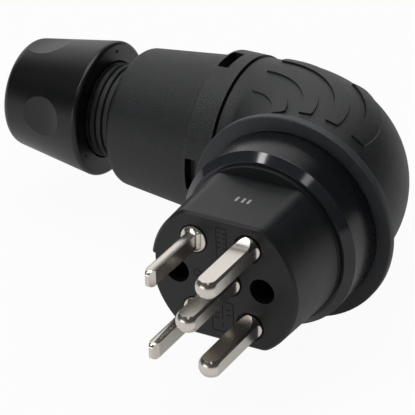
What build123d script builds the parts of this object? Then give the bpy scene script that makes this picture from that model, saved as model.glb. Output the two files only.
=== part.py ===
from build123d import *
import math
import os

# A right-angled five-pin plug, in millimetres.
# The origin is the middle of the plug's face. The pins point along -Y,
# the cable arm runs along -X, and Z is up, square to the two flats of the body.

os.makedirs("parts", exist_ok=True)

# Gaps between pieces
push_gap = 0.1             # radial gap of pieces that are pushed together
screw_gap = 0.4            # radial gap of a screw in its clearance hole
nut_gap = 0.3              # radial gap between the moving cap nut and what it turns on

# Pin carrier: front body with two flats, a round step and a tail inside the collar
face_radius = 22.0
body_length = 21.4
draft_angle = 2.5          # degrees, the body widens away from the face
flat_height = 18.6         # from the middle to each flat, at the face
flat_corner_round = 5.0
face_chamfer = 0.7
step_radius = 23.1
step_length = 4.0
tail_radius = 21.9
tail_length = 7.6
keyway_width = 7.0
keyway_depth = 1.5

# Pins: round bar, milled to a blade in front, with a shoulder and a terminal behind
pin_radius = 3.7
pin_reach = 24.0           # from the face to the tip
pin_land = 0.3             # round part that stands in front of the face
pin_well_radius = 4.15     # the hole's mouth round each pin
pin_well_depth = 0.9
wide_bar_radius = 3.35     # wide pins: turned radius of the blade
wide_tip_flat = 0.15       # radius of what is left flat at the tip
wide_bar_width = 5.8       # across the side flats
wide_bar_thickness = 4.8   # across the main flats
wide_run_out = 8.0         # radius that the cutter leaves where the main flats end
slim_bar_radius = 2.55     # slim pins: turned radius of the blade
slim_bar_thickness = 2.8
slim_tip_thickness = 1.1   # at the end of the two bevels
slim_tip_length = 2.2
slim_tip_flat = 0.95
side_run_out = 2.0         # radius that the cutter leaves where all other flats end
shoulder_radius = 4.8
shoulder_length = 2.5
terminal_radius = 4.1
terminal_length = 14.0
wire_bore_radius = 2.4
wire_bore_depth = 9.0

# Pin places on the face, x and z, whether the pin is slim, and the turn of its terminal screw
left_pins_x = -8.5
left_pins_z = 10.9
right_pins_x = 7.7
right_pins_z = 11.8
earth_pin_x = 1.4
pin_places = {
    "pin_upper_left": (left_pins_x, left_pins_z, True, 135),
    "pin_lower_left": (left_pins_x, -left_pins_z, True, 225),
    "pin_upper_right": (right_pins_x, right_pins_z, False, 45),
    "pin_lower_right": (right_pins_x, -right_pins_z, False, 315),
    "pin_earth": (earth_pin_x, 0, False, 90),
}

# Plate that keeps the pins in the carrier
retainer_thickness = 3.0

# Terminal screws
clamp_screw_radius = 1.5
clamp_head_radius = 2.5
clamp_head_height = 1.7
clamp_slot_width = 0.7
clamp_slot_depth = 0.8
clamp_seat = 3.6           # from the pin's axis to the flat under the head
clamp_tip = 1.0            # from the pin's axis to the screw's tip
clamp_back = 5.0           # from the terminal's end to the screw

# Long screws that hold the elbow to the carrier
housing_screw_x = (-14.0, 11.6)
housing_screw_radius = 1.5
housing_screw_grip = 9.0   # length of the screw in the elbow's boss
housing_head_radius = 2.9
housing_head_height = 2.2
screw_well_radius = 3.65
screw_well_depth = 20.0
cross_width = 0.9
cross_depth = 1.2

# Glossy collar that enters the socket
collar_radius = 26.2
collar_front = 22.9
collar_chamfer = 2.2
collar_edge_round = 0.25
collar_relief = 0.4        # groove between the collar's round wall and the flange
collar_shoulder = 1.0      # how much smaller the collar is in that groove and in the flange
collar_seat = 1.0          # depth of the collar in the flange
rebate_depth = 0.4         # shallow step in the flange's face, round the collar

# Flange and elbow
flange_radius = 30.5
flange_front = 37.4
flange_thickness = 2.5
flange_round = 0.5
elbow_wall = 2.4
elbow_mouth_radius = 24.8
elbow_arm_radius = 24.9
elbow_swell = 1.5          # how much wider the elbow is half way round
elbow_lean = 0.6           # how far its middle line moves outwards there
elbow_rise = 4.8           # straight part between the flange and the bend
inner_bend_radius = 2.5    # inside corner of the bend
elbow_straight = 3.0       # straight end of the elbow at the arm
elbow_steps = 6
boss_radius = 3.6
boss_room = 1.0            # free depth past the screw's tip
boss_floor = 1.0
web_thickness = 3.0

# Raised grip bands on the elbow, arcs about the inside corner of the bend
band_height = 0.55
band_first = 18.25         # radius of the first band's middle line
band_width = 4.1
band_pitch = 8.65
band_count = 4
band_tail_turn = 33.0      # degrees from the flange to where the bands curve in more
band_tail_share = 0.62     # radius of that last stretch, as a share of the band's own
band_corner_round = 0.7
band_stop_flange = 5.8     # from the bend's middle line to the bands' ends at the flange
band_stop_arm = 3.2        # and at the arm
last_band_turn = 52.0      # degrees from the flange to the start of the last band

# Latch ring between the elbow and the sleeve
seam_width = 0.8
ring_radius = 25.4
ring_length = 8.6
ring_round = 0.9
ring_wall = 3.4
spigot_length = 4.8
spigot_wall = 2.0
window_count = 4
window_length = 3.5
window_width = 9.8
window_inset = 1.1         # from the window to the ring's edge at the sleeve
latch_play = 0.4
latch_height = 0.6

# Sleeve with its threaded neck
sleeve_front_radius = 23.5
sleeve_end_radius = 20.3
sleeve_length = 28.9
sleeve_round = 2.6
sleeve_wall = 2.4
sleeve_end_wall = 4.4
hub_length = 6.1
hub_wall = 2.2
thread_crest = 14.1
thread_depth = 0.8
thread_pitch = 2.16
thread_flank = 0.3
thread_land = 1.2
neck_length = 19.4
neck_bore = 11.2
neck_step = 2.9            # from the sleeve's end to the step inside the neck

# Cable clamp inside the neck
cable_bore = 7.6
cage_wall = 1.7
cage_reach = 5.0           # how far the fingers stand out of the neck
cage_stop = 1.6            # length of the stop against the neck's end
finger_count = 8
finger_slot = 1.1
finger_length = 13.0
grommet_short = 1.0        # the grommet ends this far inside the fingers

# Cap nut
nut_rim_radius = 20.5
nut_end_radius = 15.9
nut_length = 28.7
nut_open = 9.5             # from the sleeve's end to the nut's rim, partly unscrewed
nut_end_round = 3.4
nut_rim_round = 1.4
nut_end_wall = 3.9
nut_mouth_chamfer = 0.3
nut_cone_length = 3.5
dimple_turns = (9.0, 91.0) # degrees from -Y to the middle of each finger dimple
dimple_places = (13.4, 21.0)    # from the rim to each dimple's middle
dimple_depth = 0.95
dimple_hollow = 24.0       # radius of the scoop along the nut
slip_radius = 12.0
slip_thickness = 1.2
slip_play = 0.1

# Places worked out from the sizes above, as depths behind the face
step_back = body_length + step_length
tail_back = step_back + tail_length
retainer_back = tail_back + retainer_thickness
terminal_back = tail_back + terminal_length
collar_back = flange_front + collar_seat
flange_back = flange_front + flange_thickness
bend_radius = inner_bend_radius + elbow_mouth_radius
bend_depth = flange_back + elbow_rise
arm_depth = bend_depth + bend_radius
housing_screw_back = retainer_back + housing_screw_grip
boss_hole_back = housing_screw_back + boss_room
boss_back = boss_hole_back + boss_floor
collar_wall_back = flange_front - collar_relief
collar_spigot_radius = collar_radius - collar_shoulder
body_back_radius = face_radius + body_length * math.tan(math.radians(draft_angle))
body_back_flat = flat_height + body_length * math.tan(math.radians(draft_angle))

# Places along the cable arm, measured from the pins' middle line
elbow_end = bend_radius + elbow_straight
ring_start = elbow_end + seam_width
ring_end = ring_start + ring_length
sleeve_end = ring_end + sleeve_length
neck_end = sleeve_end + neck_length
neck_floor = sleeve_end + neck_step
cage_end = neck_end + cage_reach
nut_rim = sleeve_end + nut_open
nut_end = nut_rim + nut_length

# Radii of the cable arm's bores
hub_radius = ring_radius - ring_wall - push_gap
cage_radius = neck_bore - push_gap
nut_bore = thread_crest + nut_gap
slip_bore = cable_bore + 0.8
slip_pocket = slip_radius + nut_gap

arm_axis = Axis((0, arm_depth, 0), (-1, 0, 0))
plug_axis = Axis((0, 0, 0), (0, 1, 0))


def across(depth):
    # Plane square to the pins, facing the socket, at this depth behind the face
    return Plane.XZ.offset(-depth)


# Half section of the plug body: x is the depth behind the face, y the radius
plug_section = Plane(origin=(0, 0, 0), x_dir=(0, 1, 0), z_dir=(0, 0, -1))

# Half section of the cable arm: x is the place along the arm, y the radius
arm_section = Plane(origin=(0, arm_depth, 0), x_dir=(-1, 0, 0), z_dir=(0, 0, -1))


def along_arm(place):
    # Plane square to the cable arm, facing its open end
    return Plane(origin=(-place, arm_depth, 0), x_dir=(0, -1, 0), z_dir=(-1, 0, 0))


def bend_section(turn):
    # Plane and radius of the elbow's section, from 0 degrees at the flange to 90 at the arm
    angle = math.radians(turn)
    bulge = math.sin(2 * angle)
    distance = bend_radius + elbow_lean * bulge
    radius = elbow_mouth_radius + (elbow_arm_radius - elbow_mouth_radius) * turn / 90
    middle = (
        -bend_radius + distance * math.cos(angle),
        bend_depth + distance * math.sin(angle),
        0,
    )
    section = Plane(
        origin=middle,
        x_dir=(math.cos(angle), math.sin(angle), 0),
        z_dir=(-math.sin(angle), math.cos(angle), 0),
    )
    return section, radius + elbow_swell * bulge


def elbow_tube(grow, mouth_depth):
    # Solid elbow from the flange to the arm, grown outwards, or inwards if grow is negative
    with BuildPart() as tube:
        with BuildSketch(across(mouth_depth)):
            Circle(elbow_mouth_radius + grow)
        for step in range(elbow_steps + 1):
            section, radius = bend_section(90 * step / elbow_steps)
            with BuildSketch(section):
                Circle(radius + grow)
        with BuildSketch(along_arm(elbow_end)):
            Circle(elbow_arm_radius + grow)
        loft()
    return tube.part


# Pin carrier
with BuildPart() as pin_carrier:
    with BuildSketch(across(body_length)) as body_outline:
        Circle(body_back_radius)
        Rectangle(2 * body_back_radius, 2 * body_back_flat, mode=Mode.INTERSECT)
        fillet(body_outline.vertices(), radius=flat_corner_round)
    extrude(amount=body_length, taper=draft_angle)
    chamfer(pin_carrier.faces().sort_by(Axis.Y)[0].edges(), length=face_chamfer)
    with BuildSketch(across(body_length)):
        with Locations((-face_radius, 0)):
            Rectangle(2 * keyway_depth, keyway_width)
    extrude(amount=body_length, mode=Mode.SUBTRACT)
    with BuildSketch(across(step_back)):
        Circle(step_radius)
    extrude(amount=step_length)
    with BuildSketch(across(tail_back)):
        Circle(tail_radius)
    extrude(amount=tail_length)
    pin_centres = [(x, z) for x, z, slim, screw_turn in pin_places.values()]
    screw_centres = [(x, 0) for x in housing_screw_x]
    with BuildSketch(across(0)):
        with Locations(*pin_centres):
            Circle(pin_radius + push_gap)
        with Locations(*screw_centres):
            Circle(housing_screw_radius + screw_gap)
    extrude(amount=-tail_back, mode=Mode.SUBTRACT)
    with BuildSketch(across(0)):
        with Locations(*pin_centres):
            Circle(pin_well_radius)
    extrude(amount=-pin_well_depth, mode=Mode.SUBTRACT)
    with BuildSketch(across(0)):
        with Locations(*screw_centres):
            Circle(screw_well_radius)
    extrude(amount=-screw_well_depth, mode=Mode.SUBTRACT)
    with BuildSketch(across(tail_back)):
        with Locations(*pin_centres):
            Circle(shoulder_radius + push_gap)
    extrude(amount=shoulder_length, mode=Mode.SUBTRACT)
pin_carrier.part.label = "pin_carrier"
export_step(pin_carrier.part, "parts/pin_carrier.step")

# Plate behind the carrier that keeps the pins in
with BuildPart() as pin_retainer:
    with BuildSketch(across(retainer_back)):
        Circle(tail_radius)
        with Locations(*pin_centres):
            Circle(terminal_radius + push_gap, mode=Mode.SUBTRACT)
        with Locations(*screw_centres):
            Circle(housing_screw_radius + screw_gap, mode=Mode.SUBTRACT)
    extrude(amount=retainer_thickness)
pin_retainer.part.label = "pin_retainer"
export_step(pin_retainer.part, "parts/pin_retainer.step")


def hollow_line(low, run_out):
    # Hollow that a cutter leaves between a height on the blade and the pin's full radius
    rise = min(pin_radius - low, run_out)
    turn = math.acos(1 - rise / run_out)
    start = -pin_land - run_out * math.sin(turn)
    return CenterArc((start, low + run_out), run_out, -90, math.degrees(turn))


def milled_waste(half_width, run_out):
    # What is milled off both sides of a pin: x is the depth behind the face
    with BuildSketch() as waste:
        with BuildLine():
            hollow = hollow_line(half_width, run_out)
            Polyline(
                hollow @ 1,
                (-pin_land, 2 * pin_radius),
                (-pin_reach, 2 * pin_radius),
                (-pin_reach, half_width),
                hollow @ 0,
            )
        make_face()
        mirror(about=Plane.XZ)
    return waste.sketch


# Pins with their terminals, and the screws that clamp the wires
wide_face_waste = milled_waste(wide_bar_thickness / 2, wide_run_out)
wide_side_waste = milled_waste(wide_bar_width / 2, side_run_out)
slim_face_waste = milled_waste(slim_bar_thickness / 2, side_run_out)
for pin_name, (pin_x, pin_z, slim, screw_turn) in pin_places.items():
    bar_radius = slim_bar_radius if slim else wide_bar_radius
    neck_run_out = side_run_out if slim else wide_run_out
    pin_plan = Plane(origin=(pin_x, 0, pin_z), x_dir=(0, 1, 0), z_dir=(0, 0, -1))
    pin_side = Plane(origin=(pin_x, 0, pin_z), x_dir=(0, 1, 0), z_dir=(1, 0, 0))
    with BuildPart() as pin:
        with BuildSketch(pin_plan) as pin_profile:
            with BuildLine():
                neck = hollow_line(bar_radius, neck_run_out)
                Polyline(
                    neck @ 1,
                    (tail_back - shoulder_length, pin_radius),
                    (tail_back - shoulder_length, shoulder_radius),
                    (tail_back, shoulder_radius),
                    (tail_back, terminal_radius),
                    (terminal_back, terminal_radius),
                    (terminal_back, wire_bore_radius),
                    (terminal_back - wire_bore_depth, wire_bore_radius),
                    (terminal_back - wire_bore_depth, 0),
                    (-pin_reach, 0),
                    (-pin_reach, bar_radius),
                    neck @ 0,
                )
            make_face()
            tip_corner = pin_profile.vertices().sort_by_distance((-pin_reach, bar_radius))[0]
            fillet(tip_corner, bar_radius - (slim_tip_flat if slim else wide_tip_flat))
        revolve(axis=Axis((pin_x, 0, pin_z), (0, 1, 0)))
        with BuildSketch(pin_plan):
            add(slim_face_waste if slim else wide_side_waste)
        extrude(amount=2 * pin_radius, both=True, mode=Mode.SUBTRACT)
        if slim:
            with BuildSketch(pin_plan):
                with BuildLine():
                    Polyline(
                        (-pin_reach, slim_tip_thickness / 2),
                        (-pin_reach, 2 * pin_radius),
                        (-pin_reach + slim_tip_length, 2 * pin_radius),
                        (-pin_reach + slim_tip_length, slim_bar_thickness / 2),
                        close=True,
                    )
                make_face()
                mirror(about=Plane.XZ)
        else:
            with BuildSketch(pin_side):
                add(wide_face_waste)
        extrude(amount=2 * pin_radius, both=True, mode=Mode.SUBTRACT)
        screw_angle = math.radians(screw_turn)
        outwards = Vector(math.cos(screw_angle), 0, math.sin(screw_angle))
        terminal_point = Vector(pin_x, terminal_back - clamp_back, pin_z)
        clamp_plane = Plane(origin=terminal_point, x_dir=(0, 1, 0), z_dir=outwards)
        with BuildSketch(clamp_plane):
            Circle(clamp_screw_radius + push_gap)
        extrude(amount=terminal_radius + 1, mode=Mode.SUBTRACT)
        with BuildSketch(clamp_plane.offset(clamp_seat)):
            Circle(clamp_head_radius + push_gap)
        extrude(amount=terminal_radius, mode=Mode.SUBTRACT)
    pin.part.label = pin_name
    export_step(pin.part, f"parts/{pin_name}.step")

    screw_name = pin_name.replace("pin", "terminal_screw")
    with BuildPart() as terminal_screw:
        with BuildSketch(clamp_plane.offset(clamp_tip)):
            Circle(clamp_screw_radius)
        extrude(amount=clamp_seat - clamp_tip)
        with BuildSketch(clamp_plane.offset(clamp_seat)):
            Circle(clamp_head_radius)
        extrude(amount=clamp_head_height)
        with BuildSketch(clamp_plane.offset(clamp_seat + clamp_head_height)):
            Rectangle(3 * clamp_head_radius, clamp_slot_width)
        extrude(amount=-clamp_slot_depth, mode=Mode.SUBTRACT)
    terminal_screw.part.label = screw_name
    export_step(terminal_screw.part, f"parts/{screw_name}.step")

# Glossy collar round the carrier's tail
with BuildPart() as collar:
    with BuildSketch(plug_section) as collar_profile:
        with BuildLine():
            Polyline(
                (collar_front, step_radius + push_gap),
                (collar_front, collar_radius - collar_chamfer),
                (collar_front + collar_chamfer, collar_radius),
                (collar_wall_back, collar_radius),
                (collar_wall_back, collar_spigot_radius),
                (collar_back, collar_spigot_radius),
                (collar_back, tail_radius + push_gap),
                (step_back, tail_radius + push_gap),
                (step_back, step_radius + push_gap),
                close=True,
            )
        make_face()
        chamfer_corner = (collar_front + collar_chamfer / 2, collar_radius - collar_chamfer / 2)
        chamfer_corners = collar_profile.vertices().sort_by_distance(chamfer_corner)[:2]
        fillet(chamfer_corners, radius=collar_edge_round)
    revolve(axis=plug_axis)
collar.part.label = "collar"
export_step(collar.part, "parts/collar.step")

# Grip bands, cut from a slightly larger elbow, from the smallest arc outwards
elbow_outside = elbow_tube(0, flange_back)
elbow_raised = elbow_tube(band_height, flange_back)
elbow_cavity = elbow_tube(-elbow_wall, flange_front)
arc_centre = (-bend_radius, bend_depth)
band_room = 2 * bend_radius + elbow_mouth_radius
with BuildPart() as grip_bands:
    with BuildSketch() as band_outlines:
        for band in range(band_count):
            band_radius = band_first + band * band_pitch
            start = last_band_turn if band == band_count - 1 else 90
            with BuildLine():
                arc = CenterArc(arc_centre, band_radius, start, band_tail_turn - start)
                JernArc(arc @ 1, arc % 1, band_tail_share * band_radius, -2 * band_tail_turn)
            trace(line_width=band_width)
        stop_corner = (-bend_radius + band_stop_arm, bend_depth + band_stop_flange)
        with Locations(stop_corner):
            Rectangle(band_room, band_room, align=(Align.MIN, Align.MIN), mode=Mode.INTERSECT)
        fillet(band_outlines.vertices().group_by(Axis.Y)[0], radius=band_corner_round)
        fillet(band_outlines.vertices().group_by(Axis.X)[0], radius=band_corner_round)
    extrude(amount=2 * elbow_mouth_radius, both=True)
    add(elbow_raised, mode=Mode.INTERSECT)

# Elbow with its flange
with BuildPart() as elbow_housing:
    add(elbow_outside)
    add(grip_bands.part)
    with BuildSketch(across(flange_back)):
        Circle(flange_radius)
    extrude(amount=flange_thickness)
    rim_edges = elbow_housing.edges().filter_by(GeomType.CIRCLE)
    rim_edges = rim_edges.filter_by(lambda edge: abs(edge.radius - flange_radius) < 0.01)
    fillet(rim_edges, radius=flange_round)
    add(elbow_cavity, mode=Mode.SUBTRACT)
    with BuildSketch(across(collar_back)):
        Circle(collar_spigot_radius + push_gap)
    extrude(amount=2 * collar_seat, mode=Mode.SUBTRACT)
    with BuildSketch(across(flange_front)):
        Circle(collar_radius + push_gap)
    extrude(amount=-rebate_depth, mode=Mode.SUBTRACT)
    cavity_radius = elbow_mouth_radius - elbow_wall
    for screw_x in housing_screw_x:
        wall_side = math.copysign(cavity_radius + elbow_wall / 2, screw_x)
        with BuildSketch(across(boss_back)):
            with Locations((screw_x, 0)):
                Circle(boss_radius)
        extrude(amount=boss_back - retainer_back)
        with BuildSketch(across(boss_hole_back)):
            with Locations(((screw_x + wall_side) / 2, 0)):
                Rectangle(abs(wall_side - screw_x), web_thickness)
        extrude(amount=boss_hole_back - collar_back)
    with BuildSketch(across(retainer_back)):
        with Locations(*screw_centres):
            Circle(housing_screw_radius + push_gap)
    extrude(amount=retainer_back - boss_hole_back, mode=Mode.SUBTRACT)
elbow_housing.part.label = "elbow_housing"
export_step(elbow_housing.part, "parts/elbow_housing.step")

# Long screws through the carrier into the elbow's bosses
for screw_side, screw_x in zip(("left", "right"), housing_screw_x):
    screw_top = screw_well_depth - housing_head_height
    with BuildPart() as housing_screw:
        with BuildSketch(across(screw_well_depth)):
            with Locations((screw_x, 0)):
                Circle(housing_head_radius)
        extrude(amount=housing_head_height)
        with BuildSketch(across(screw_well_depth)):
            with Locations((screw_x, 0)):
                Circle(housing_screw_radius)
        extrude(amount=screw_well_depth - housing_screw_back)
        with BuildSketch(across(screw_top)):
            with Locations((screw_x, 0)):
                Rectangle(1.4 * housing_head_radius, cross_width)
                Rectangle(cross_width, 1.4 * housing_head_radius)
        extrude(amount=-cross_depth, mode=Mode.SUBTRACT)
    housing_screw.part.label = f"housing_screw_{screw_side}"
    export_step(housing_screw.part, f"parts/housing_screw_{screw_side}.step")

# Latch ring: spigot in the elbow, four windows for the sleeve's latches
spigot_radius = elbow_arm_radius - elbow_wall - push_gap
window_middle = ring_end - window_inset - window_length / 2
with BuildPart() as latch_ring:
    with BuildSketch(arm_section) as ring_profile:
        with BuildLine():
            Polyline(
                (ring_start - spigot_length, spigot_radius - spigot_wall),
                (ring_start - spigot_length, spigot_radius),
                (ring_start, spigot_radius),
                (ring_start, ring_radius),
                (ring_end, ring_radius),
                (ring_end, ring_radius - ring_wall),
                (ring_start + spigot_wall, ring_radius - ring_wall),
                (ring_start + spigot_wall, spigot_radius - spigot_wall),
                close=True,
            )
        make_face()
        fillet(ring_profile.vertices().sort_by_distance((ring_end, ring_radius))[0], ring_round)
    revolve(axis=arm_axis)
    with Locations(along_arm(window_middle)):
        with PolarLocations(ring_radius, window_count):
            Box(3 * ring_wall, window_width, window_length, mode=Mode.SUBTRACT)
latch_ring.part.label = "latch_ring"
export_step(latch_ring.part, "parts/latch_ring.step")

# Sleeve with the threaded neck for the cap nut
thread_root = thread_crest - thread_depth
thread_gap = thread_pitch - 2 * thread_flank - thread_land
thread_turns = int((neck_length - thread_gap) / thread_pitch)
thread_points = []
for turn in range(thread_turns):
    start = sleeve_end + thread_gap + turn * thread_pitch
    thread_points += [
        (start, thread_root),
        (start + thread_flank, thread_crest),
        (start + thread_flank + thread_land, thread_crest),
        (start + 2 * thread_flank + thread_land, thread_root),
    ]
hub_bore = hub_radius - hub_wall
sleeve_cavity_end = sleeve_end - sleeve_end_wall
lip_bore = cable_bore + 0.6
with BuildPart() as cable_sleeve:
    with BuildSketch(arm_section) as sleeve_profile:
        with BuildLine():
            Polyline(
                (ring_end - hub_length, hub_bore),
                (ring_end - hub_length, hub_radius),
                (ring_end, hub_radius),
                (ring_end, sleeve_front_radius),
                (sleeve_end, sleeve_end_radius),
                (sleeve_end, thread_root),
                *thread_points,
                (neck_end, thread_root),
                (neck_end, neck_bore),
                (neck_floor, neck_bore),
                (neck_floor, lip_bore),
                (sleeve_end - sleeve_wall, lip_bore),
                (sleeve_cavity_end - sleeve_wall, sleeve_end_radius - sleeve_wall),
                (ring_end, hub_bore),
                close=True,
            )
        make_face()
        end_corner = (sleeve_end, sleeve_end_radius)
        fillet(sleeve_profile.vertices().sort_by_distance(end_corner)[0], sleeve_round)
    revolve(axis=arm_axis)
    with Locations(along_arm(window_middle)):
        with PolarLocations(hub_radius, window_count):
            Box(
                2 * latch_height,
                window_width - 2 * latch_play,
                window_length - 2 * latch_play,
            )
cable_sleeve.part.label = "cable_sleeve"
export_step(cable_sleeve.part, "parts/cable_sleeve.step")

# Clamp cage: slotted fingers round the cable, held by the neck
cage_bore = cage_radius - cage_wall
with BuildPart() as clamp_cage:
    with BuildSketch(arm_section):
        with BuildLine():
            Polyline(
                (neck_floor, cage_bore),
                (neck_floor, cage_radius),
                (neck_end, cage_radius),
                (neck_end, cage_radius + cage_stop),
                (neck_end + cage_stop, cage_radius + cage_stop),
                (cage_end, cage_radius - cage_wall / 2),
                (cage_end, cage_bore),
                close=True,
            )
        make_face()
    revolve(axis=arm_axis)
    with Locations(along_arm(cage_end - finger_length / 2)):
        with PolarLocations(cage_radius, finger_count):
            Box(4 * cage_wall, finger_slot, finger_length, mode=Mode.SUBTRACT)
clamp_cage.part.label = "clamp_cage"
export_step(clamp_cage.part, "parts/clamp_cage.step")

# Rubber grommet inside the cage
with BuildPart() as seal_grommet:
    with BuildSketch(along_arm(neck_floor)):
        Circle(cage_bore - push_gap)
        Circle(cable_bore, mode=Mode.SUBTRACT)
    extrude(amount=cage_end - grommet_short - neck_floor)
seal_grommet.part.label = "seal_grommet"
export_step(seal_grommet.part, "parts/seal_grommet.step")

# Cap nut with its finger dimples
pocket_floor = nut_end - nut_end_wall
pocket_start = pocket_floor - slip_thickness - slip_play
nut_slope = math.atan((nut_rim_radius - nut_end_radius) / nut_length)
with BuildPart() as gland_nut:
    with BuildSketch(arm_section) as nut_profile:
        with BuildLine():
            Polyline(
                (nut_rim, nut_bore + nut_mouth_chamfer),
                (nut_rim, nut_rim_radius),
                (nut_end, nut_end_radius),
                (nut_end, slip_bore),
                (pocket_floor, slip_bore),
                (pocket_floor, slip_pocket),
                (pocket_start, slip_pocket),
                (pocket_start - nut_cone_length, nut_bore),
                (nut_rim + nut_mouth_chamfer, nut_bore),
                close=True,
            )
        make_face()
        fillet(
            nut_profile.vertices().sort_by_distance((nut_end, nut_end_radius))[0],
            nut_end_round,
        )
        fillet(
            nut_profile.vertices().sort_by_distance((nut_rim, nut_rim_radius))[0],
            nut_rim_round,
        )
    revolve(axis=arm_axis)
    dimples = [*zip(dimple_turns, dimple_places)]
    dimples += [(turn + 180, place) for turn, place in dimples]
    for dimple_turn, dimple_place in dimples:
        angle = math.radians(dimple_turn)
        skin_radius = nut_rim_radius - dimple_place * math.tan(nut_slope)
        radial = Vector(0, -math.cos(angle), math.sin(angle))
        tangent = Vector(0, math.sin(angle), math.cos(angle))
        normal = radial * math.cos(nut_slope) + Vector(-math.sin(nut_slope), 0, 0)
        skin_point = Vector(-(nut_rim + dimple_place), arm_depth, 0) + radial * skin_radius
        scoop_centre = skin_point + normal * (dimple_hollow - dimple_depth)
        scoop = Plane(origin=scoop_centre, x_dir=normal, z_dir=tangent)
        with BuildSketch(scoop):
            Circle(dimple_hollow)
        extrude(amount=nut_rim_radius, both=True, mode=Mode.SUBTRACT)
gland_nut.part.label = "gland_nut"
export_step(gland_nut.part, "parts/gland_nut.step")

# Slip ring that the nut pushes against the fingers
with BuildPart() as slip_ring:
    with BuildSketch(along_arm(pocket_start)):
        Circle(slip_radius)
        Circle(slip_bore, mode=Mode.SUBTRACT)
    extrude(amount=slip_thickness)
slip_ring.part.label = "slip_ring"
export_step(slip_ring.part, "parts/slip_ring.step")
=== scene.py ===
import bpy
import bmesh
import math
from mathutils import Matrix, Vector


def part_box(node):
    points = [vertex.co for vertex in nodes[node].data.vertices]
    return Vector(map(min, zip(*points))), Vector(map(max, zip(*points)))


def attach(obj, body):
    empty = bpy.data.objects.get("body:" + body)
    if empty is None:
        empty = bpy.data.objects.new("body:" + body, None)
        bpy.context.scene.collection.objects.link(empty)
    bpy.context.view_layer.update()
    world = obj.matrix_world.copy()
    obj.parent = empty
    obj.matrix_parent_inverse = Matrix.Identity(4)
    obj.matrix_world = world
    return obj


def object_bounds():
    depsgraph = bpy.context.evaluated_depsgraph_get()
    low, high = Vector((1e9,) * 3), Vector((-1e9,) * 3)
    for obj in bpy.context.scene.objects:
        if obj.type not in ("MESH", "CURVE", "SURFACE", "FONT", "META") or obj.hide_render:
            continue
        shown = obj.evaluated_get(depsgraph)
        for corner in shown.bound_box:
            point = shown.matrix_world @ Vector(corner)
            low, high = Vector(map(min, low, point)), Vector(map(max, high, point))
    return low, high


# Five-pin right-angled plug, in metres. The pins point along -Y, the cable arm along -X.

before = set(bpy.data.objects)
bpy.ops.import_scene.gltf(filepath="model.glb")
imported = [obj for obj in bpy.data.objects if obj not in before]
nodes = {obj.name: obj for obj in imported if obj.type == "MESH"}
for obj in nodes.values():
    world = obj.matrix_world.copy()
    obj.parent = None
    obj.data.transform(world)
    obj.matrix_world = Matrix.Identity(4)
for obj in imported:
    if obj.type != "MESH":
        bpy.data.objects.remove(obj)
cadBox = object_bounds()
scene = bpy.context.scene
scene.view_settings.view_transform = "Standard"
print("frame loaded:", len(nodes), "nodes")


# Camera at the photograph's viewing angle

view = {
    "azimuth": 30.68,      # degrees round from -Y towards +X
    "elevation": 29.27,    # degrees above the plug's middle plane
    "roll": -2.24,         # degrees
    "place": (0.30865, -0.52679, 0.36468),
    "lens": 234.94,        # mm
    "sensor": 36,          # mm wide
    "nearest": 0.01,       # closest distance that is drawn
}


def makeCamera():
    turn, lift, roll = (math.radians(view[key]) for key in ("azimuth", "elevation", "roll"))
    level = math.cos(lift)
    back = Vector((math.sin(turn) * level, -math.cos(turn) * level, math.sin(lift)))
    right = Vector((math.cos(turn), math.sin(turn), 0))
    up = back.cross(right)
    sideways = right * math.cos(roll) + up * math.sin(roll)
    upwards = up * math.cos(roll) - right * math.sin(roll)
    data = bpy.data.cameras.new("photoCamera")
    data.lens = view["lens"]
    data.sensor_width = view["sensor"]
    data.clip_start = view["nearest"]
    camera = bpy.data.objects.new("photoCamera", data)
    facing = Matrix((sideways, upwards, back)).transposed().to_4x4()
    camera.matrix_world = Matrix.Translation(view["place"]) @ facing
    scene.collection.objects.link(camera)
    scene.camera = camera


makeCamera()
print("camera set")


# Shader maths: a wrapped socket adds its Math nodes when it is used in an expression

class Value:
    def __init__(self, graph, socket):
        self.graph = graph
        self.socket = socket

    def maths(self, operation, first, second):
        return self.graph.node("Math", {"operation": operation}, {0: first, 1: second})

    def __add__(self, other):
        return self.maths("ADD", self, other)

    def __radd__(self, other):
        return self.maths("ADD", other, self)

    def __sub__(self, other):
        return self.maths("SUBTRACT", self, other)

    def __rsub__(self, other):
        return self.maths("SUBTRACT", other, self)

    def __mul__(self, other):
        return self.maths("MULTIPLY", self, other)

    def __rmul__(self, other):
        return self.maths("MULTIPLY", other, self)

    def __lt__(self, other):
        return self.maths("LESS_THAN", self, other)

    def __gt__(self, other):
        return self.maths("GREATER_THAN", self, other)


class Graph:
    def __init__(self, tree):
        self.tree = tree
        tree.nodes.clear()

    def addNode(self, kind, settings, inputs):
        made = self.tree.nodes.new("ShaderNode" + kind)
        for key, setting in settings.items():
            if key == "stops":
                self.setStops(made.color_ramp, setting)
            else:
                setattr(made, key, setting)
        for key, value in inputs.items():
            if isinstance(value, Value):
                self.tree.links.new(value.socket, made.inputs[key])
            else:
                made.inputs[key].default_value = value
        return made

    def node(self, kind, settings, inputs, outlet=0):
        return Value(self, self.addNode(kind, settings, inputs).outputs[outlet])

    def setStops(self, ramp, stops):
        while len(ramp.elements) < len(stops):
            ramp.elements.new(0.5)
        for element, (place, shade) in zip(ramp.elements, stops):
            element.position = place
            element.color = (shade, shade, shade, 1)

    def noise(self, place, scale, detail):
        return self.node("TexNoise", {}, {"Vector": place, "Scale": scale, "Detail": detail})

    def mixColours(self, share, first, second, way="MIX"):
        settings = {"data_type": "RGBA", "blend_type": way}
        return self.node("Mix", settings, {0: share, 6: first, 7: second}, 2)

    def bump(self, height, relief):
        return self.node("Bump", {}, {"Strength": 1.0, "Distance": relief, "Height": height})

    def finish(self, surface, kind="Material"):
        self.addNode("Output" + kind, {}, {"Surface": surface})


def newSurface(name):
    material = bpy.data.materials.new(name)
    material.use_nodes = True
    return material, Graph(material.node_tree)


def opaque(colour):
    return (*colour, 1)


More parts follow.
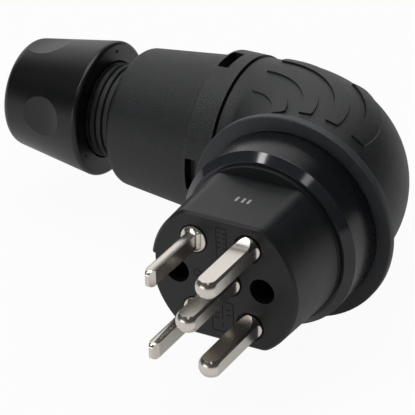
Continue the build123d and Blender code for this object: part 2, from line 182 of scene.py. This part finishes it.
noiseMiddle = 0.5    # what a noise comes to on average

# Finishes. Colours are linear, and sizes are in metres: patch is the size of the faint patches,
# grain that of the moulded grain, relief its height. Roughness varies by spread.
# A zone is the part of a piece in front of that depth behind the plug's face: its lift is painted
# light added to its colour, and smoother is taken from its roughness.

finishes = {
    "insertPlastic": {
        "dark": (0.0052, 0.0062, 0.0074), "light": (0.0120, 0.0134, 0.0150), "patch": 0.004,
        "roughness": 0.42, "spread": 0.14, "grain": 0.00034, "relief": 0.000045,
    },
    "collarPlastic": {
        "dark": (0.0056, 0.0064, 0.0080), "light": (0.0090, 0.0102, 0.0124), "patch": 0.006,
        "roughness": 0.27, "spread": 0.02, "grain": 0.0009, "relief": 0.0000002,
        # The lift is painted light: it brightens the collar's front chamfer, whose reflections are
        # dark
        "paintedLightZone": {"depth": 0.0251, "lift": (0.0190, 0.0195, 0.0235), "smoother": 0.17},
    },
    "housingPlastic": {
        "dark": (0.0066, 0.0075, 0.0086), "light": (0.0222, 0.0239, 0.0258), "patch": 0.003,
        "roughness": 0.48, "spread": 0.18, "grain": 0.00033, "relief": 0.000115,
        # The lift is painted light on the flange face, as if it were lit from above and in front
        "paintedLightZone": {"depth": 0.0397, "lift": (0.0300, 0.0312, 0.0345), "smoother": 0},
    },
    "ringPlastic": {
        "dark": (0.0066, 0.0074, 0.0084), "light": (0.0330, 0.0352, 0.0378), "patch": 0.003,
        "roughness": 0.46, "spread": 0.22, "grain": 0.00037, "relief": 0.000175,
    },
    "nutPlastic": {
        "dark": (0.0028, 0.0032, 0.0032), "light": (0.0052, 0.0058, 0.0058), "patch": 0.005,
        "roughness": 0.32, "spread": 0.06, "grain": 0.0004, "relief": 0.000010,
    },
    "cagePlastic": {
        "dark": (0.015, 0.015, 0.016), "light": (0.024, 0.024, 0.025), "patch": 0.003,
        "roughness": 0.45, "spread": 0.08, "grain": 0.0004, "relief": 0.00001,
    },
    "sealRubber": {
        "dark": (0.010, 0.010, 0.010), "light": (0.018, 0.018, 0.018), "patch": 0.002,
        "roughness": 0.80, "spread": 0.12, "grain": 0.0003, "relief": 0.00003,
    },
    # Painted shade: a near black for the shade in the face's recessed marks and in the rim's slots
    "paintedShadeMark": {
        "dark": (0.002, 0.002, 0.002), "light": (0.004, 0.004, 0.004), "patch": 0.002,
        "roughness": 0.75, "spread": 0.12, "grain": 0.0002, "relief": 0.000003,
    },
    "paleInk": {
        "dark": (0.36, 0.35, 0.33), "light": (0.55, 0.54, 0.51), "patch": 0.0006,
        "roughness": 0.55, "spread": 0.12, "grain": 0.0002, "relief": 0.000003,
    },
}

# What all the plastics share
moulding = {
    "patchDetail": 3.0,
    "grainDetail": 1.0,
    "patchShare": 0.3,      # of the colour's variation, the rest is grain
    "grainShare": 0.7,
    "stops": [(0.36, 0), (0.64, 1)],
    "refraction": 1.5,
}


def makePlastic(name):
    look = finishes[name]
    material, graph = newSurface(name)
    place = graph.node("TexCoord", {}, {}, "Object")
    patches = graph.noise(place, 1 / look["patch"], moulding["patchDetail"])
    grain = graph.noise(place, 1 / look["grain"], moulding["grainDetail"])
    mottle = moulding["patchShare"] * patches + moulding["grainShare"] * grain
    shade = graph.node("ValToRGB", {"stops": moulding["stops"]}, {"Fac": mottle})
    colour = graph.mixColours(shade, opaque(look["dark"]), opaque(look["light"]))
    spread = look["spread"]
    roughness = look["roughness"] + (patches - noiseMiddle) * spread
    roughness = roughness + (grain - noiseMiddle) * spread
    paintedLightZone = look.get("paintedLightZone")
    if paintedLightZone:
        depth = graph.node("SeparateXYZ", {}, {"Vector": place}, "Y")
        # Painted light: the zone's lift is added to the colour in front of its depth
        inside = depth < paintedLightZone["depth"]
        colour = graph.mixColours(inside, colour, opaque(paintedLightZone["lift"]), "ADD")
        roughness = roughness - inside * paintedLightZone["smoother"]
    surface = graph.node("BsdfPrincipled", {}, {
        "Base Color": colour, "Roughness": roughness,
        "Normal": graph.bump(grain, look["relief"]), "IOR": moulding["refraction"],
    })
    graph.finish(surface)
    return material


# Metals. The drawn lines are line wide, and stretch is their width over their length along the pins.

metals = {
    "nickelPlate": {
        "dark": (0.76, 0.705, 0.64), "light": (0.89, 0.835, 0.765),
        "roughness": 0.25, "spread": 0.07,
        "line": 0.00012, "stretch": 0.02, "relief": 0.0000002,
    },
    "zincSteel": {
        "dark": (0.42, 0.42, 0.43), "light": (0.62, 0.62, 0.62),
        "roughness": 0.34, "spread": 0.16,
        "line": 0.00025, "stretch": 1.0, "relief": 0.000002,
    },
}

# What both metals share
plating = {
    "lineDetail": 2.0,
    "cloudScale": 260.0,    # clouds to the metre
    "cloudDetail": 3.0,
    "lineShare": 0.5,
    "cloudShare": 0.5,
}


def makeMetal(name):
    look = metals[name]
    material, graph = newSurface(name)
    place = graph.node("TexCoord", {}, {}, "Object")
    drawn = graph.node("Mapping", {}, {"Vector": place, "Scale": (1, look["stretch"], 1)})
    lines = graph.noise(drawn, 1 / look["line"], plating["lineDetail"])
    clouds = graph.noise(place, plating["cloudScale"], plating["cloudDetail"])
    mottle = plating["lineShare"] * lines + plating["cloudShare"] * clouds
    spread = look["spread"]
    roughness = look["roughness"] + (clouds - noiseMiddle) * spread
    roughness = roughness + (lines - noiseMiddle) * spread
    surface = graph.node("BsdfPrincipled", {}, {
        "Base Color": graph.mixColours(mottle, opaque(look["dark"]), opaque(look["light"])),
        "Metallic": 1.0,
        "Roughness": roughness,
        "Normal": graph.bump(lines, look["relief"]),
    })
    graph.finish(surface)
    return material


surfaces = {name: makePlastic(name) for name in finishes}
surfaces.update({name: makeMetal(name) for name in metals})
print("materials made:", len(surfaces))


# Each node's finish. The screws are zinc plated, and the pins are what is left.

nodeFinish = {
    "pin_carrier": "insertPlastic",
    "pin_retainer": "insertPlastic",
    "collar": "collarPlastic",
    "elbow_housing": "housingPlastic",
    "latch_ring": "ringPlastic",
    "cable_sleeve": "housingPlastic",
    "gland_nut": "nutPlastic",
    "clamp_cage": "cagePlastic",
    "slip_ring": "cagePlastic",
    "seal_grommet": "sealRubber",
}


def dressNodes():
    for name, part in nodes.items():
        if "screw" in name:
            finish = "zincSteel"
        else:
            finish = nodeFinish.get(name, "nickelPlate")
        part.data.materials.clear()
        part.data.materials.append(surfaces[finish])


dressNodes()
print("nodes dressed")


# Thin raised plates, from which the marks are made

roundingSteps = 2    # in each rounded edge
sideLimit = 0.5      # the normal of a plate's side has less than this along the plate's rise


def isSide(face, up):
    return abs(face.normal.dot(up)) < sideLimit


def addPlate(form, corners, outwards, soften, rim=0):
    # With a rim, only a frame of that width is left of the plate
    faces = [form.faces.new([form.verts.new(corner) for corner in corners])]
    if rim:
        form.normal_update()
        inset = bmesh.ops.inset_region(
            form, faces=faces, thickness=rim, use_even_offset=True, use_boundary=True,
        )
        bmesh.ops.delete(form, geom=faces, context="FACES_ONLY")
        faces = inset["faces"]
    grown = bmesh.ops.extrude_face_region(form, geom=faces, use_keep_orig=True)["geom"]
    lifted = {item for item in grown if isinstance(item, bmesh.types.BMVert)}
    bmesh.ops.translate(form, verts=list(lifted), vec=outwards)
    tops = [edge for edge in form.edges if lifted.issuperset(edge.verts)]
    up = outwards.normalized()
    rims = [edge for edge in tops if any(isSide(face, up) for face in edge.link_faces)]
    bmesh.ops.bevel(
        form, geom=rims, offset=soften, segments=roundingSteps, profile=0.5,
        affect="EDGES", material=-1,
    )


def addBar(form, middle, across, upwards, outwards, soften, rim=0):
    signs = ((-1, -1), (1, -1), (1, 1), (-1, 1))
    corners = [middle + side * across + end * upwards for side, end in signs]
    addPlate(form, corners, outwards, soften, rim)


def finishPiece(name, form, finish, body):
    bmesh.ops.recalc_face_normals(form, faces=form.faces)
    mesh = bpy.data.meshes.new(name)
    form.to_mesh(mesh)
    form.free()
    piece = bpy.data.objects.new(name, mesh)
    scene.collection.objects.link(piece)
    mesh.materials.append(surfaces[finish])
    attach(piece, body)


# Frames with dashes in them and a small ring, on the plug's face: raised lines whose shape is the
# real marking and whose dark colour is painted shade, standing for the shadowed edges of recessed
# panels. Places are x and z.

faceMarks = {
    "rise": 0.00006,        # height of the lines
    "rim": 0.00026,         # width of the lines round the frames and the ring
    "soften": 0.00003,      # rounding of their edges
    "frames": [             # two opposite corners
        ((-0.00185, 0.0068), (0.0015, 0.0161)),
        ((-0.0038, -0.0157), (0.0028, -0.0062)),
    ],
    "dashColumns": (-0.0009, 0.0006),
    "dashRows": (0.0146, 0.0131, 0.0116, 0.0101),
    "dashSize": (0.0009, 0.0003),
    "bars": [               # middle, then width and height
        ((-0.0005, -0.0095), (0.00026, 0.0042)),
        ((-0.0005, -0.0136), (0.0003, 0.0013)),
        ((-0.0022, -0.0100), (0.0014, 0.0003)),
        ((-0.0022, -0.0116), (0.0014, 0.0003)),
        ((0.0012, -0.0085), (0.0014, 0.0003)),
        ((0.0012, -0.0101), (0.0014, 0.0003)),
    ],
    "ring": ((-0.0079, 0.0008), 0.0011),    # middle and radius
    "ringSides": 24,
}


def makeFaceMarks():
    form = bmesh.new()
    outwards = Vector((0, -faceMarks["rise"], 0))
    soften = faceMarks["soften"]
    for low, high in faceMarks["frames"]:
        middle = Vector(((low[0] + high[0]) / 2, 0, (low[1] + high[1]) / 2))
        across = Vector(((high[0] - low[0]) / 2, 0, 0))
        upwards = Vector((0, 0, (high[1] - low[1]) / 2))
        addBar(form, middle, across, upwards, outwards, soften, faceMarks["rim"])
    dashes = [
        ((x, z), faceMarks["dashSize"])
        for x in faceMarks["dashColumns"] for z in faceMarks["dashRows"]
    ]
    for (x, z), (width, height) in dashes + faceMarks["bars"]:
        across = Vector((width / 2, 0, 0))
        upwards = Vector((0, 0, height / 2))
        addBar(form, Vector((x, 0, z)), across, upwards, outwards, soften)
    (x, z), radius = faceMarks["ring"]
    sides = faceMarks["ringSides"]
    turns = [math.radians(360 * step / sides) for step in range(sides)]
    ring = [Vector((x + radius * math.cos(turn), 0, z + radius * math.sin(turn))) for turn in turns]
    addPlate(form, ring, outwards, soften, faceMarks["rim"])
    finishPiece("faceMarks", form, "paintedShadeMark", "plug_body")


# Three printed bars on the top flat. Ink has no slot of its own.

flatPrint = {
    "places": (-0.00124, 0.00068, 0.00231),    # x of each bar
    "size": (0.00070, 0.0022),
    "rise": 0.000015,
    "soften": 0.00003,      # more than the rise, so the sides fold below the base, inside out
    "depth": 0.01095,       # from the face to the print's middle
    "flatHeight": 0.0186,   # of the top flat, at the face
    "slope": 2.5,           # degrees that the flat rises towards the flange
}


def makeFlatPrint():
    form = bmesh.new()
    slope = math.radians(flatPrint["slope"])
    along = Vector((0, math.cos(slope), math.sin(slope)))
    outwards = Vector((0, -math.sin(slope), math.cos(slope))) * flatPrint["rise"]
    depth = flatPrint["depth"]
    height = flatPrint["flatHeight"] + depth * math.tan(slope)
    width, length = flatPrint["size"]
    across = Vector((width / 2, 0, 0))
    for x in flatPrint["places"]:
        middle = Vector((x, depth, height))
        addBar(form, middle, across, along * length / 2, outwards, flatPrint["soften"])
    finishPiece("flatPrint", form, "paleInk", "plug_body")


# Two small dark marks on the cap nut's rim: thin plates whose dark colour is painted shade, standing
# for the shade inside two small slots

rimSlotShade = {
    "turns": (105.0, -28.5),    # degrees from -Y towards +Z
    "radius": 0.0175,           # from the cable arm's axis
    "armDepth": 0.072,          # of that axis behind the face
    "size": (0.0009, 0.0016),
    "rise": 0.00002,
    "soften": 0.00003,          # more than the rise, so the sides fold below the base, inside out
}


def makeRimSlotShade():
    form = bmesh.new()
    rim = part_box("gland_nut")[1].x
    centre = Vector((rim, rimSlotShade["armDepth"], 0))
    outwards = Vector((rimSlotShade["rise"], 0, 0))
    width, length = rimSlotShade["size"]
    for degrees in rimSlotShade["turns"]:
        turn = math.radians(degrees)
        radial = Vector((0, -math.cos(turn), math.sin(turn)))
        tangent = Vector((0, math.sin(turn), math.cos(turn)))
        middle = centre + radial * rimSlotShade["radius"]
        across = radial * width / 2
        addBar(form, middle, across, tangent * length / 2, outwards, rimSlotShade["soften"])
    finishPiece("rimSlotShade", form, "paintedShadeMark", "cap_nut")


makeFaceMarks()
makeFlatPrint()
makeRimSlotShade()
print("marks made")


# Floor, room and lamps

studio = {
    "floorSize": 6.0,
    "floorShade": (0.80, 0.80, 0.80),
    "floorGlow": 0.95,      # share of plain white that the camera sees in the floor
    "mirroredGlow": 0.30,   # the same for mirrored rays
    "fibreScale": 900.0,    # paper fibres to the metre
    "fibreDetail": 2.0,
    "fibreRoughness": 0.2,
    "roomShade": (0.045, 0.045, 0.045),    # what lights the object beside the lamps
}

# Lamps aim at the plug. Sizes are in metres, and power in watts.
lamps = {
    "overhead": {"place": (-0.15, 0.15, 1.10), "size": (1.0, 0.8), "power": 7.0},
    "backdrop": {"place": (-0.85, 1.15, 0.62), "size": (2.2, 1.2), "power": 7.0},
    "keyLeft": {"place": (-0.44, -0.41, 0.74), "size": (0.10, 0.24), "power": 0.92},
    "keyRight": {"place": (0.29, -0.58, 0.70), "size": (0.09, 0.22), "power": 0.22},
    "frontFill": {"place": (-0.62, -1.30, 0.16), "size": (1.0, 0.34), "power": 2.0},
}
lampAim = Vector((-0.03, 0.04, 0))
white = (1, 1, 1, 1)


def makeFloor():
    lowest = cadBox[0].z
    form = bmesh.new()
    bmesh.ops.create_grid(form, x_segments=2, y_segments=2, size=studio["floorSize"] / 2)
    bmesh.ops.translate(form, verts=form.verts, vec=(0, 0, lowest))
    mesh = bpy.data.meshes.new("floor")
    form.to_mesh(mesh)
    form.free()
    floor = bpy.data.objects.new("floor", mesh)
    scene.collection.objects.link(floor)
    material, graph = newSurface("floorPaper")
    place = graph.node("TexCoord", {}, {}, "Object")
    fibre = graph.noise(place, studio["fibreScale"], studio["fibreDetail"])
    paper = graph.node("BsdfDiffuse", {}, {
        "Color": opaque(studio["floorShade"]), "Roughness": studio["fibreRoughness"] * fibre,
    })
    glow = graph.node("Emission", {}, {"Color": white, "Strength": 1.0})
    seen = graph.node("LightPath", {}, {}, "Is Camera Ray")
    mirrored = graph.node("LightPath", {}, {}, "Is Glossy Ray")
    through = graph.node("LightPath", {}, {}, "Is Transmission Ray")
    share = (seen + through) * studio["floorGlow"] + mirrored * studio["mirroredGlow"]
    graph.finish(graph.node("MixShader", {}, {0: share, 1: paper, 2: glow}))
    mesh.materials.append(material)


def makeRoom():
    # The camera sees plain white, and the object is lit by a dark room
    world = bpy.data.worlds.new("room")
    world.use_nodes = True
    scene.world = world
    graph = Graph(world.node_tree)
    walls = graph.node("Background", {}, {"Color": opaque(studio["roomShade"]), "Strength": 1.0})
    plain = graph.node("Background", {}, {"Color": white, "Strength": 1.0})
    seen = graph.node("LightPath", {}, {}, "Is Camera Ray")
    graph.finish(graph.node("MixShader", {}, {0: seen, 1: walls, 2: plain}), "World")


def makeLamp(name):
    lamp = lamps[name]
    data = bpy.data.lights.new(name, "AREA")
    data.shape = "RECTANGLE"
    data.size, data.size_y = lamp["size"]
    data.energy = lamp["power"]
    holder = bpy.data.objects.new(name, data)
    away = Vector(lamp["place"]) - lampAim
    facing = away.to_track_quat("Z", "Y").to_matrix().to_4x4()
    holder.matrix_world = Matrix.Translation(lamp["place"]) @ facing
    scene.collection.objects.link(holder)


makeFloor()
makeRoom()
for lampName in lamps:
    makeLamp(lampName)
print("studio set")
